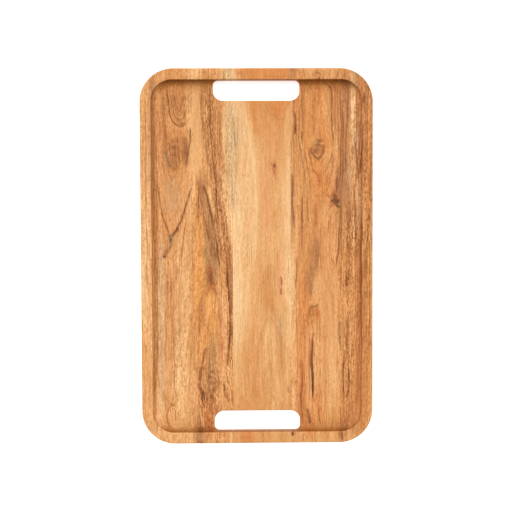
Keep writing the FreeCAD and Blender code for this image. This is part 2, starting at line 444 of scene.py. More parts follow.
# How bright the studio light makes a white surface.
STUDIO_WHITE = 1.22
# How fast red, green and blue darken where the wood takes more oil.
OIL = (0.74, 1.0, 1.5)
DARKEST = 0.003
NOISE_CELLS = 64


def linear(swatch):
    """Reflectance that shows as a swatch in the studio light."""
    value = np.array(swatch, float) / 255
    value = np.where(value <= 0.04045, value / 12.92, ((value + 0.055) / 1.055) ** 2.4)
    return value / STUDIO_WHITE


def darken(colour, amount):
    """Colour of wood that has taken up more oil."""
    return colour * np.exp(-amount[:, None] * np.array(OIL))


def stain(colour, swatch, share):
    """Moves a colour towards a swatch the way that a stain does."""
    plain = np.log(np.maximum(colour, DARKEST))
    return np.exp(plain * (1 - share) + np.log(linear(WOOD[swatch])) * share)


def drift(seed, a, b):
    """Smooth seeded noise between -1 and 1 over two coordinates."""
    size = NOISE_CELLS
    table = np.random.default_rng(seed).uniform(-1, 1, (size, size))
    ia, ib = np.floor(a).astype(int), np.floor(b).astype(int)
    fa, fb = a - ia, b - ib
    fa, fb = fa * fa * (3 - 2 * fa), fb * fb * (3 - 2 * fb)
    near = table[ia % size, ib % size] * (1 - fb) + table[ia % size, (ib + 1) % size] * fb
    far = table[(ia + 1) % size, ib % size] * (1 - fb) + table[(ia + 1) % size, (ib + 1) % size] * fb
    return near * (1 - fa) + far * fa


def to_line(x, y, line):
    """Distance of points to a line of straight stretches, and the share run along it."""
    best = np.full(x.shape, 1e9)
    share = np.zeros(x.shape)
    line = np.array(line, float)
    lengths = np.linalg.norm(np.diff(line, axis=0), axis=1)
    runs = np.concatenate([[0], np.cumsum(lengths)]) / lengths.sum()
    for k in range(len(line) - 1):
        (ax, ay), (bx, by) = line[k], line[k + 1]
        dx, dy = bx - ax, by - ay
        t = np.clip(((x - ax) * dx + (y - ay) * dy) / (dx * dx + dy * dy), 0, 1)
        distance = np.hypot(x - ax - t * dx, y - ay - t * dy)
        closer = distance < best
        best = np.where(closer, distance, best)
        share = np.where(closer, runs[k] + t * (runs[k + 1] - runs[k]), share)
    return best, share


def comb(swatch, width, depth, count, step, line):
    """Lines side by side, each a little unlike the last."""
    rows = []
    for n in range(count):
        share = 0.7 + 0.3 * math.cos(2.4 * n)
        aside = step * (n + 0.2 * math.sin(3 * n))
        along = 5 * math.sin(5 * n)
        moved = tuple((x + aside, y + along) for x, y in line)
        rows.append((swatch, width, depth * share, moved))
    return tuple(rows)


class Timber:
    """The figure of one board: its bands of colour, its knots and its dark lines."""

    # A ring's average darkening, taken off so that the rings keep the board's tone.
    RING_MEAN = 0.23
    # How dark lines are drawn: half width at least, spread, how crisp the edge is,
    # strength, how far they lean at the underside, and below what half width they
    # have fainter rings beside them.
    LEAST_LINE = 0.75
    LINE_SPREAD = 1.12
    LINE_EDGE = 2.6
    LINE_STRENGTH = 1.2
    LINE_LEAN = 2.5
    FINE_LINE = 1.6

    def __init__(self, seed, pith, rings, across, bands, strokes, coarse, knots=()):
        self.seed = seed
        self.across = across
        self.coarse = coarse
        self.pith = sorted(pith)
        self.rings = rings
        self.bands = sorted(bands)
        self.knots = knots
        self.strokes = sorted(strokes, key=lambda stroke: -stroke[1])

    def across_rings(self, x, y, z):
        """Distance from the pith, which runs under the face at a changing depth."""
        places = [row[0] for row in self.pith]
        middle = np.interp(y, places, [row[1] for row in self.pith])
        depth = np.interp(y, places, [row[2] for row in self.pith])
        depth = depth + 1.4 * drift(self.seed + 20, x / 22, y / 70)
        return np.hypot(x - middle, np.maximum(depth, 0.5) + 0.6 * (z - FLOOR))

    def flow(self, x, y, z):
        """Place across the fibres, which run round the knots."""
        u = x + 1.5 * drift(self.seed, x / 50, y / 130) + 0.45 * drift(self.seed + 1, x / 14, y / 38)
        u = u + 0.45 * (z - FLOOR) * drift(self.seed + 2, x / 70, y / 200)
        for at_x, at_y, radius, stretch, _ in self.knots:
            dx = u - at_x
            r2 = dx ** 2 + ((y - at_y) / stretch) ** 2
            bend = np.minimum(radius ** 2 / np.maximum(r2, 1e-6), 0.97)
            bend = bend * np.exp(-r2 / (5 * radius) ** 2)
            u = at_x + dx * (1 - bend)
        return u

    def band_colour(self, u, y):
        """Broad colour of the wood, from stations across rows along the board."""
        heights = [row[0] for row in self.bands]
        rows = []
        for _, words in self.bands:
            swatches = np.array([linear(WOOD[name]) for name in words.split()])
            rows.append(np.stack([np.interp(u, self.across, c) for c in swatches.T], -1))
        wander = y + 11 * drift(self.seed + 3, u / 3, y / 50)
        at = np.interp(wander, heights, np.arange(len(heights)))
        low = np.clip(np.floor(at).astype(int), 0, len(heights) - 2)
        share = (at - low)[:, None]
        rows = np.stack(rows)
        index = np.arange(len(u))
        return rows[low, index] * (1 - share) + rows[low + 1, index] * share

    def coarseness(self, x, y):
        """How strongly the pores and flecks show."""
        base, zones = self.coarse
        amount = np.full(x.shape, base)
        for more, width, line in zones:
            distance, share = to_line(x, y, line)
            ends = np.clip(np.minimum(share, 1 - share) * 9, 0, 1)
            amount = amount + more * ends * np.exp(-(distance / width) ** 3)
        return np.clip(amount * (1 + 0.25 * drift(self.seed + 40, x / 12, y / 30)), 0.1, 3)

    def ring_shade(self, u, y):
        """Growth rings: each darkens slowly and ends in a sharp dark line."""
        shade = np.zeros(u.shape)
        for number, (pitch, sharpness, depth) in enumerate(self.rings):
            seed = self.seed + 10 + 3 * number
            years = u / pitch + 0.9 * drift(seed, u / (3 * pitch), y / 120)
            year = np.floor(years)
            strength = 0.5 + 0.5 * drift(seed + 1, year * 7.31, y / 60)
            shade = shade + depth * (strength * (years - year) ** sharpness - self.RING_MEAN)
        return shade

    def line_shade(self, x, y, z, colour):
        """Draws the dark and pale lines, with fainter rings beside the fine ones."""
        buried = np.clip((FLOOR - z) / FLOOR, 0, 1)
        x = x + 0.8 * drift(self.seed + 5, x / 9, y / 13) + self.LINE_LEAN * buried
        x = x + 0.35 * drift(self.seed + 8, x / 3, y / 5)
        y = y + 1.2 * drift(self.seed + 6, x / 11, y / 30)
        for swatch, width, depth, line in self.strokes:
            distance, share = to_line(x, y, line)
            ends = np.clip(np.minimum(share, 1 - share) * 7 + 0.15, 0, 1)
            broken = 0.85 + 0.35 * drift(self.seed + 7, x / 2.5, y / 9)
            broken = broken * (1 + 0.22 * drift(self.seed + 9, x / 1.6, y / 3.2))
            reach = max(width, self.LEAST_LINE) * self.LINE_SPREAD
            cover = np.exp(-(distance / reach) ** self.LINE_EDGE)
            mix = self.LINE_STRENGTH * depth * ends * broken * cover
            mix = np.clip(mix * (1 - 0.6 * buried), 0, 0.96)[:, None]
            turn = distance * 2.2 + 1.5 * drift(self.seed, x / 2, y / 9)
            beside = np.exp(-distance / 4) * np.cos(turn)
            colour = darken(colour, 0.20 * depth * ends * beside * (width < self.FINE_LINE))
            colour = stain(colour, swatch, mix)
        return colour

    def knot_shade(self, x, y, colour):
        """Draws the knots: a heart of their own colour in closed rings."""
        for at_x, at_y, radius, stretch, swatch in self.knots:
            wx = x + 0.25 * radius * drift(self.seed + 30, x / radius, y / radius)
            wy = y + 0.35 * radius * drift(self.seed + 31, x / radius, y / radius)
            r = np.hypot(wx - at_x, (wy - at_y) / stretch) / radius
            colour = darken(colour, 0.35 * np.exp(-r / 1.5) * np.cos(5.5 * r))
            mix = np.clip(0.8 * np.exp(-r ** 2 * 2.2), 0, 1)[:, None]
            colour = stain(colour, swatch, mix)
        return colour

    def colour(self, x, y, z):
        """The wood's colour at points, with painted shade and painted light in the coves, and the place
        across its fibres.
        """
        u = self.flow(x, y, z)
        rings = self.across_rings(u, y, z)
        colour = self.band_colour(u, y)
        colour = darken(colour, self.ring_shade(rings, y))
        colour = self.knot_shade(x, y, colour)
        colour = self.line_shade(x, y, z, colour)
        # Painted shade in the coves at the tray's two ends, and painted light in the side coves.
        colour = darken(colour, cove_oil_and_painted_shade(x, y, z))
        return np.clip(colour, 0.002, 0.98), u


# Where the end coves begin along the tray and how softly, how far they keep off the
# corners and how softly, how soon the darkening is gone below the surface, and how much
# each cove is darkened: at the two ends by oil in the cut fibres together with painted
# shade, and in the side coves a painted light that makes them lighter than the floor.
END_START = 180.0
END_FADE = 20.0
END_CORNER = 20.0
END_CORNER_FADE = 12.0
SURFACE_FADE = 3.0
BACK_OIL_AND_SHADE = 1.02
FRONT_OIL_AND_SHADE = 0.82
SIDE_PAINTED_LIGHT = 0.14


def cove_oil_and_painted_shade(x, y, z):
    """How much darker the coves are painted: oil in the cut fibres at the tray's two
    ends, together with painted shade that deepens towards the cove's wall.

    The back cove gets deeper painted shade than the front one.  The coves along the
    sides run with the fibres, and get painted light that makes them a little lighter
    than the floor.
    """
    basin = from_basin(x, y)
    inside = basin > WALL_GAP / 2
    front = np.where(inside, np.exp(-(basin / 6.5) ** 1.3), 0)
    back = np.where(inside, np.exp(-(basin / 9.0) ** 1.5), 0)
    at_end = np.clip((np.abs(y) - END_START) / END_FADE, 0, 1)
    at_end = at_end * np.clip((HALF_WIDTH - END_CORNER - np.abs(x)) / END_CORNER_FADE, 0, 1)
    ends = np.where(y > 0, BACK_OIL_AND_SHADE * back, FRONT_OIL_AND_SHADE * front)
    above = np.clip((z - FLOOR / 2) / SURFACE_FADE, 0, 1)
    # Painted shade at the ends, less the painted light in the side coves.
    return above * (ends * at_end - SIDE_PAINTED_LIGHT * front * (1 - at_end))


# How much the layers of the fibres tilt across a board.
GRAIN_TILT = 0.15


def write_tone(piece, colour):
    """Writes a colour for each point onto a piece's mesh."""
    tone = piece.data.attributes.new("tone", "FLOAT_COLOR", "POINT")
    rgba = np.concatenate([colour, np.ones((len(colour), 1))], 1)
    tone.data.foreach_set("color", rgba.astype(np.float32).ravel())


def paint(piece, timber, points):
    """Writes a board's colour, coarseness and run of fibres onto its mesh."""
    x, y, z = points.T
    colour, u = timber.colour(x, y, z)
    write_tone(piece, colour)
    coarse = piece.data.attributes.new("coarse", "FLOAT", "POINT")
    coarse.data.foreach_set("value", timber.coarseness(x, y).astype(np.float32))
    grain = piece.data.attributes.new("grain", "FLOAT_VECTOR", "POINT")
    run = np.stack([u, y, z + GRAIN_TILT * x], 1)
    grain.data.foreach_set("vector", run.astype(np.float32).ravel())


# ------------------------------------------------------------------ the boards

# Pith: a place along the board, then the pith's place across and depth under the face.
# Rings: their spacing, how sharply each ends, and how dark.
# Across: the places across the board at which the bands give a colour.
# Bands: a place along the board, then the wood's colour at each place across it.
# Strokes: colour, half width, strength, and the points that they run through.
# Coarse: how open the grain is, then zones where it is more open or closer.
# Knots: place, radius, how long against how wide, colour.

LEFT_OUTER = Timber(
    seed=101,
    pith=((-225, -106, 46), (24, -104, 24), (70, -99, 16), (105, -99, 6), (125, -98, 6),
          (150, -92, 16), (185, -92, 9), (225, -92, 3)),
    rings=((2.7, 2.2, 0.26), (7.3, 3.0, 0.24)),
    across=(-137, -130, -123, -117, -109, -101, -93, -85, -79),
    bands=(
        (218, "honey amber tan amber amber tan tan tan honey"),
        (205, "honey amber umber tan tan tan tan tan honey"),
        (160, "honey amber umber tan chestnut tan tan tan honey"),
        (120, "amber honey umber tan chestnut chestnut tan chestnut honey"),
        (85, "honey honey umber tan amber tan tan amber honey"),
        (40, "straw honey chestnut tan tan amber amber amber amber"),
        (0, "straw honey chestnut beige amber amber honey honey amber"),
        (-50, "straw honey tan sand amber amber honey honey amber"),
        (-100, "amber honey tan sand amber amber straw honey tan"),
        (-150, "amber amber tan sand amber honey straw honey amber"),
        (-200, "amber amber honey honey amber honey honey honey honey"),
        (-220, "amber honey honey amber honey amber honey honey honey"),
    ),
    strokes=(
        # The next two strokes are painted shade: dark lines along the whole left cove.
        ("bark", 0.8, 0.6, ((-122.8, 200), (-122.6, 120), (-122.8, 60), (-123, -30), (-123.4, -200))),
        ("cocoa", 0.6, 0.45, ((-119.6, 170), (-119.6, 60), (-120, -40), (-121, -150))),
        ("umber", 0.6, 0.45, ((-132, 190), (-132, 80), (-131, -40))),
        ("umber", 0.6, 0.35, ((-135.6, 180), (-136, 60), (-136, 0))),
        ("bark", 2.6, 0.45, ((-111.5, 200), (-109.6, 165), (-108, 130))),
        ("amber", 1.6, 0.6, ((-106.5, 185), (-106, 160), (-104, 146))),
        ("walnut", 0.8, 0.55, ((-106.3, 200), (-105, 184), (-103.6, 172), (-100, 163), (-95, 157),
                              (-90, 155.4), (-86, 158), (-84, 162))),
        ("walnut", 1.2, 0.6, ((-92, 158), (-87, 160))),
        ("chestnut", 7.0, 0.7, ((-95, 200), (-94, 182), (-92, 168))),
        ("cocoa", 0.7, 0.5, ((-103, 198), (-101.6, 186), (-98, 172), (-93, 163), (-87, 166), (-84, 178))),
        ("cocoa", 0.7, 0.45, ((-98, 194), (-96, 182), (-92, 174), (-88.6, 182), (-87, 194))),
        ("bark", 0.8, 0.4, ((-100, 196), (-99, 184), (-95, 172), (-91, 168), (-87, 176), (-85, 196))),
        ("bark", 1.0, 0.35, ((-95, 196), (-93, 184), (-91, 178), (-89, 186), (-88, 198))),
        ("rust", 3.0, 0.25, ((-96, 150), (-88, 147))),
        ("bark", 3.6, 0.6, ((-97, 144), (-99, 128), (-98, 114), (-96, 103))),
        ("olive", 2.6, 0.5, ((-109, 132), (-109, 118), (-107, 106))),
        ("slate", 1.6, 0.3, ((-108, 128), (-106, 116), (-105, 106))),
        ("cocoa", 3.0, 0.55, ((-86, 144), (-85.5, 126), (-85, 109))),
        ("walnut", 0.9, 0.55, ((-78.6, 155), (-80, 138), (-82.4, 124), (-85, 110))),
        ("cocoa", 0.8, 0.4, ((-91, 142), (-89.6, 128), (-88.5, 114))),
        *comb("cocoa", 0.7, 0.60, 5, 3.1, ((-104, 140), (-103.6, 124), (-101.6, 108))),
        ("beige", 9.0, 0.6, ((-103, 95), (-100, 72), (-101, 52))),
        ("umber", 0.9, 0.4, ((-113, 112), (-109, 98), (-106, 88), (-100, 96), (-92, 104), (-86, 98))),
        ("walnut", 0.8, 0.5, ((-118, 84), (-115.3, 63), (-111.8, 46), (-108.4, 36), (-104.6, 27))),
        ("walnut", 0.9, 0.62, ((-77.6, 87), (-83, 68), (-88.6, 52), (-92, 41), (-97, 32.5), (-104, 25))),
        ("walnut", 1.4, 0.7, ((-94, 36), (-98, 31), (-103, 25))),
        ("slate", 2.2, 0.6, ((-106, 28), (-103.8, 24), (-103.6, 17))),
        ("slate", 1.3, 0.5, ((-104, 24), (-104, 14), (-106, 8))),
        ("plum", 2.6, 0.4, ((-106, 9), (-110, 5), (-112, 0))),
        ("char", 1.2, 0.8, ((-111.4, 1.2), (-112.4, -1.6))),
        ("umber", 0.8, 0.35, ((-112, 78), (-108, 58), (-103, 44), (-96, 54), (-86, 78))),
        ("plum", 0.8, 0.6, ((-85, 41), (-87, 29), (-88.6, 19), (-90, 4), (-91, -10))),
        ("bark", 0.6, 0.5, ((-108.2, -18), (-108.4, -60))),
        ("bark", 0.6, 0.5, ((-103.4, -20), (-103.8, -66))),
        ("bark", 0.6, 0.4, ((-95.6, -12), (-96.4, -34))),
        ("straw", 2.6, 0.5, ((-90, 0), (-91, -50), (-92, -130), (-93, -170))),
        ("straw", 1.6, 0.45, ((-84, -20), (-84, -100))),
        ("beige", 3.2, 0.5, ((-117, -10), (-116.6, -100), (-115, -185))),
        ("umber", 0.8, 0.6, ((-102, -64), (-101.4, -100), (-100.2, -130), (-100.4, -168))),
        ("umber", 0.7, 0.45, ((-80.6, -70), (-80.4, -120), (-82, -170))),
        ("bark", 0.9, 0.75, ((-98, -183), (-102, -179.6), (-107, -182), (-110, -190), (-109.4, -199),
                             (-105.4, -206.5))),
        ("amber", 6.0, 0.5, ((-102, -188), (-102, -201))),
        *comb("umber", 0.7, 0.40, 7, 3.2, ((-110, 0), (-110.4, -60), (-110, -140))),
        ("bark", 0.7, 0.45, ((-105, -188), (-102, -184), (-99, -188), (-99, -198))),
        ("bark", 1.8, 0.35, ((-128, -196), (-127.4, -200))),
        ("umber", 0.6, 0.5, ((-121, -199), (-122.4, -212))),
    ),
    coarse=(0.85, ((-0.25, 12, ((-103, 100), (-101, 50))), (0.3, 6, ((-92, -85), (-92, -135))),
                   (0.3, 8, ((-100, 145), (-99, 105))))),
    knots=((-99.4, 114, 5.4, 1.5, "cocoa"), (-97.6, 127, 4.4, 2.4, "bark")),
)

LEFT_INNER = Timber(
    seed=202,
    pith=((225, -62, 30), (95, -67, 23), (40, -64, 15), (-20, -62, 9), (-60, -57, 6),
          (-110, -58, 4), (-145, -56, 3), (-180, -56, 8), (-225, -60, 10)),
    rings=((2.8, 2.2, 0.26), (7.9, 3.0, 0.26)),
    across=(-77, -71, -65, -59, -53, -47, -41, -35, -30),
    bands=(
        (218, "honey honey amber amber tan amber honey cream sand"),
        (200, "honey honey tan tan tan tan tan honey honey"),
        (150, "honey honey tan tan tan tan honey sand sand"),
        (110, "honey honey amber tan chestnut tan honey straw sand"),
        (80, "honey orange umber tan tan umber honey straw sand"),
        (50, "amber orange chestnut olive umber tan chestnut honey straw"),
        (20, "tan amber orange olive olive umber amber chestnut honey"),
        (-15, "tan orange orange olive umber olive tan chestnut umber"),
        (-50, "tan orange chestnut orange orange tan amber tan umber"),
        (-80, "amber orange chestnut amber orange tan peach tan tan"),
        (-110, "tan amber orange tan olive tan peach tan tan"),
        (-150, "honey tan tan olive olive tan honey honey amber"),
        (-185, "amber amber chestnut chestnut chestnut amber amber tan tan"),
        (-205, "amber umber chestnut rust chestnut chestnut tan tan tan"),
        (-220, "honey olive umber amber amber tan amber amber honey"),
    ),
    strokes=(
        ("honey", 4.6, 0.7, ((-72.4, 212), (-72, 150), (-71.8, 96))),
        ("umber", 0.8, 0.65, ((-66.2, 196), (-65.4, 166), (-63.6, 142), (-60.6, 128), (-57.4, 112))),
        ("olive", 4.6, 0.3, ((-61, 200), (-60, 160), (-57, 130))),
        ("walnut", 0.9, 0.55, ((-54.4, 204), (-54.2, 176), (-54.8, 156), (-54.6, 142), (-52.6, 124),
                              (-50.8, 108), (-49.2, 92), (-48.6, 76), (-47.6, 60), (-46, 44))),
        ("bark", 0.9, 0.6, ((-58, 166), (-57.4, 152), (-57, 136), (-55.4, 122))),
        ("slate", 0.9, 0.35, ((-60.6, 138), (-58.4, 122), (-55, 104), (-53, 88))),
        ("umber", 4.6, 0.2, ((-48, 196), (-47, 150), (-45, 104), (-43, 70), (-40, 40), (-36, 5))),
        *comb("cocoa", 0.7, 0.30, 5, 2.4, ((-52, 196), (-51.6, 150), (-48.6, 110), (-46, 84))),
        *comb("cocoa", 0.7, 0.60, 7, 2.5, ((-63, 52), (-60.4, 34), (-57, 16), (-54, -6))),
        *comb("cocoa", 0.7, 0.60, 3, 2.4, ((-45, 70), (-41.6, 40), (-38, 4))),
        *comb("bark", 0.7, 0.45, 5, 2.6, ((-66, 200), (-65, 168), (-61, 140))),
        ("rust", 1.2, 0.45, ((-44, 150), (-43.6, 136), (-43, 104))),
        ("straw", 1.9, 0.65, ((-39.5, 170), (-39, 120), (-38, 88), (-35.6, 60), (-32.4, 36))),
        ("sand", 3.8, 0.7, ((-34, 187), (-33.4, 150), (-31.6, 110), (-30, 80))),
        ("sand", 5.0, 0.8, ((-35, 226), (-35.4, 213))),
        ("umber", 5.0, 0.7, ((-66.6, 96), (-67, 80), (-66.4, 62), (-64, 48))),
        ("cocoa", 1.0, 0.6, ((-68.6, 90), (-70, 72), (-70.4, 58), (-71, 40))),
        ("orange", 2.6, 0.8, ((-69.4, 62), (-68.6, 30), (-68, -10), (-69, -48), (-71, -72))),
        ("orange", 1.4, 0.6, ((-73.6, 92), (-73.6, 60))),
        ("walnut", 1.1, 0.65, ((-65, 86), (-61, 77), (-58, 66), (-55.4, 54), (-53, 42))),
        ("bark", 1.7, 0.7, ((-53.6, 46), (-52, 36), (-50.6, 28))),
        ("walnut", 0.8, 0.75, ((-50.6, 28), (-48.4, 16), (-46.2, 4), (-44, -12))),
        ("bark", 0.7, 0.6, ((-62, 44), (-58, 28), (-54, 12), (-50, -2))),
        ("bark", 0.7, 0.6, ((-58, 34), (-54.4, 20), (-50.6, 8), (-48, -4))),
        ("bark", 0.7, 0.5, ((-60, 22), (-57.4, 8), (-56, -6))),
        ("olive", 5.5, 0.4, ((-58, 44), (-55, 18), (-52, -8))),
        ("straw", 1.3, 0.6, ((-59, 90), (-53.4, 66), (-49.4, 38), (-45.4, 16), (-42.4, -10))),
        ("rust", 4.4, 0.75, ((-56.6, -10), (-56.4, -22), (-55, -32), (-53, -39))),
        ("cocoa", 3.0, 0.7, ((-56.4, -15), (-55.6, -26), (-54, -34))),
        ("rust", 1.4, 0.6, ((-54, -34), (-50, -40), (-47.4, -45))),
        ("rust", 1.4, 0.6, ((-57, -34), (-59.6, -42), (-61.4, -48))),
        ("straw", 1.2, 0.5, ((-61, -58), (-58, -50), (-53.4, -46), (-49.6, -54), (-47.4, -66))),
        ("orange", 5.0, 0.5, ((-56, -60), (-57, -80), (-62, -100))),
        ("bark", 1.7, 0.5, ((-66, -44), (-68, -62), (-69.6, -80), (-70.6, -98))),
        ("walnut", 1.0, 0.9, ((-36.8, -8), (-35.4, -24), (-33.6, -42), (-32.4, -66), (-33, -92),
                              (-34.4, -114), (-35.4, -132))),
        ("bark", 0.9, 0.65, ((-32.6, 12), (-31.4, -20), (-30.6, -60), (-30.4, -110))),
        ("bark", 2.2, 0.5, ((-33.6, 8), (-33, -14), (-32, -40))),
        ("rust", 1.2, 0.5, ((-46, -58), (-43.6, -84), (-42.4, -108), (-44, -132))),
        ("honey", 1.4, 0.5, ((-40, -40), (-38.4, -80), (-38, -120))),
        ("cocoa", 1.7, 0.85, ((-61, -109), (-63.4, -118), (-65.2, -126), (-67, -133))),
        ("plum", 1.6, 0.85, ((-67, -132), (-68.6, -144), (-69.6, -152))),
        ("cocoa", 1.8, 0.85, ((-70, -151), (-69.6, -158), (-67.6, -164), (-65.4, -170))),
        ("bark", 0.9, 0.7, ((-63.8, -134), (-67, -138.6))),
        ("walnut", 0.8, 0.75, ((-68.4, -168), (-66, -176), (-64, -182))),
        ("walnut", 1.0, 0.75, ((-66.6, -163), (-65, -168), (-63.6, -173))),
        ("cocoa", 0.6, 0.7, ((-70.4, -181.6), (-63.6, -182))),
        *comb("bark", 0.7, 0.60, 6, 2.6, ((-63, -136), (-60, -150), (-61, -168), (-60, -186))),
        ("cocoa", 0.8, 0.6, ((-62, -152), (-57, -146), (-51, -147), (-48, -154), (-51, -162), (-57, -164))),
        ("cocoa", 0.8, 0.5, ((-59, -153), (-55, -149), (-51.6, -153), (-55, -158))),
        ("umber", 3.0, 0.45, ((-61, -144), (-58, -152), (-59, -164))),
        ("bark", 2.0, 0.7, ((-56, -168), (-52.6, -172), (-51.6, -177))),
        ("bark", 1.4, 0.9, ((-41, -152), (-39, -162), (-36.8, -171), (-35, -179))),
        ("rust", 0.8, 0.55, ((-38, -138), (-36, -150), (-31.4, -165), (-30.8, -180))),
        ("honey", 1.3, 0.7, ((-69.6, -183), (-68, -194), (-65, -206))),
        ("honey", 1.0, 0.6, ((-57, -188), (-55, -203))),
        ("bark", 1.6, 0.6, ((-67.4, -187), (-66, -194))),
        ("rust", 3.6, 0.5, ((-64, -204), (-58, -200), (-53, -205))),
        ("cocoa", 2.2, 0.6, ((-70.6, -206), (-68.6, -212))),
        ("umber", 3.4, 0.6, ((-70.6, -211), (-70.6, -226))),
        ("walnut", 1.0, 0.7, ((-70, -223), (-67.4, -224.6))),
        ("rust", 1.0, 0.5, ((-61, -212), (-60, -222))),
        ("olive", 1.0, 0.5, ((-48, -190), (-40, -176))),
    ),
    coarse=(1.05, ((-0.65, 5, ((-72, 215), (-72, 90))),
                   (0.8, 8, ((-56, 200), (-50, 110), (-42, 40), (-35, -10))),
                   (0.7, 10, ((-56, -120), (-58, -215))), (0.7, 4, ((-34, 0), (-33, -140))))),
    knots=((-55.0, -152, 3.4, 1.6, "umber"),),
)

CENTRE = Timber(
    seed=303,
    pith=((225, 15, 40), (0, 16, 30), (-70, 18, 22), (-150, 15, 10), (-225, 12, 4)),
    rings=((3.4, 2.0, 0.12), (8.8, 2.5, 0.15)),
    across=(-28, -20, -12, -4, 4, 12, 20, 28, 36, 41),
    bands=(
        (220, "cream amber copper copper copper copper copper copper copper chestnut"),
        (185, "sand straw honey copper tan tan copper copper tan amber"),
        (150, "sand sand straw honey amber tan amber tan honey honey"),
        (120, "sand straw straw straw honey amber amber amber honey straw"),
        (85, "sand straw straw straw honey peach honey honey straw straw"),
        (50, "cream cream straw straw honey peach amber honey straw straw"),
        (10, "cream straw straw straw honey honey honey honey straw straw"),
        (-30, "cream straw straw honey amber tan honey peach straw cream"),
        (-60, "cream cream straw honey honey tan tan honey honey cream"),
        (-90, "cream straw honey amber honey straw honey beige honey straw"),
        (-120, "straw honey amber amber amber honey honey tan honey honey"),
        (-160, "amber honey amber tan amber amber honey honey honey amber"),
        (-185, "amber amber tan amber tan amber honey amber amber amber"),
        (-220, "amber copper copper amber tan amber honey tan honey amber"),
    ),
    strokes=(
        ("cream", 2.0, 0.75, ((-14.6, 187), (-12, 166), (-8, 146), (-4.6, 118), (-2, 90), (-0.6, 60),
                              (-0.8, 24), (-3, 2), (-7, -24))),
        ("copper", 3.6, 0.6, ((-5, 190), (-2, 168), (1.6, 146))),
        ("copper", 7.5, 0.8, ((20, 190), (24, 172), (30, 190))),
        *comb("tan", 0.7, 0.50, 6, 5.4, ((-6, 20), (-6, -60), (-4, -130))),
        ("bark", 0.7, 0.22, ((10, 184), (15, 174), (20, 168), (24, 165), (31, 163))),
        ("bark", 0.7, 0.35, ((38, 184), (34.6, 174), (32, 160))),
        ("slate", 0.8, 0.45, ((-26.6, 152), (-25.4, 142), (-25, 132))),
        ("slate", 0.8, 0.3, ((-29.6, 100), (-28.8, 76), (-28.6, 50))),
        ("olive", 0.8, 0.35, ((-22, 170), (-22, 130), (-23, 100))),
        ("cream", 3.6, 0.7, ((-24, 96), (-24, 40), (-25, -40), (-23, -110))),
        ("plum", 1.3, 0.75, ((21.4, 110.6), (21.4, 106.4))),
        ("rust", 2.2, 0.4, ((21, 116), (21.4, 108), (21.4, 98))),
        ("bark", 0.6, 0.4, ((16, 116), (22, 96), (23.4, 90))),
        ("cocoa", 0.9, 0.7, ((28.6, -24), (29.8, -31), (29.6, -35))),
        ("plum", 0.8, 0.6, ((29.6, -38), (29, -46))),
        ("umber", 0.7, 0.4, ((25, 6), (26, -8), (25.6, -22))),
        ("umber", 0.7, 0.35, ((14, -8), (13, -30))),
        ("cream", 2.2, 0.7, ((38.4, 134), (38.6, 60), (38, 0), (38.6, -60), (37.6, -112))),
        ("sand", 0.9, 0.4, ((38, 0), (38, -28))),
        ("straw", 3.4, 0.6, ((17, -78), (19.6, -104), (21.6, -132))),
        ("tan", 1.3, 0.5, ((-2, -130), (2, -104), (8, -84), (14, -74), (20, -76), (26, -92), (29, -120),
                           (31, -145))),
        ("tan", 1.1, 0.5, ((13, -108), (16, -130), (19, -156), (20, -172))),
        ("umber", 0.7, 0.4, ((27, -90), (29.4, -116), (33, -146))),
        ("beige", 3.0, 0.5, ((27.6, -72), (29, -100), (30, -124))),
        ("copper", 6.5, 0.25, ((-12, -112), (-8, -122), (-14, -130))),
        ("copper", 5.0, 0.25, ((-4, -160), (4, -170))),
        ("cocoa", 0.8, 0.5, ((37.6, -158), (38, -166))),
        ("cocoa", 0.7, 0.5, ((19.6, -168), (20.4, -175))),
        ("rust", 2.0, 0.45, ((-24, 219), (-16, 218))),
        ("rust", 1.0, 0.4, ((10, 216), (26, 215), (38, 215))),
        ("rust", 1.2, 0.35, ((-22, -216), (-12, -219))),
        ("bark", 1.2, 0.8, ((41, -211.6), (42, -217))),
    ),
    coarse=(0.62, ((0.75, 7, ((-30, 190), (-29, 60))), (0.35, 4, ((38, 0), (38, -60))))),
)

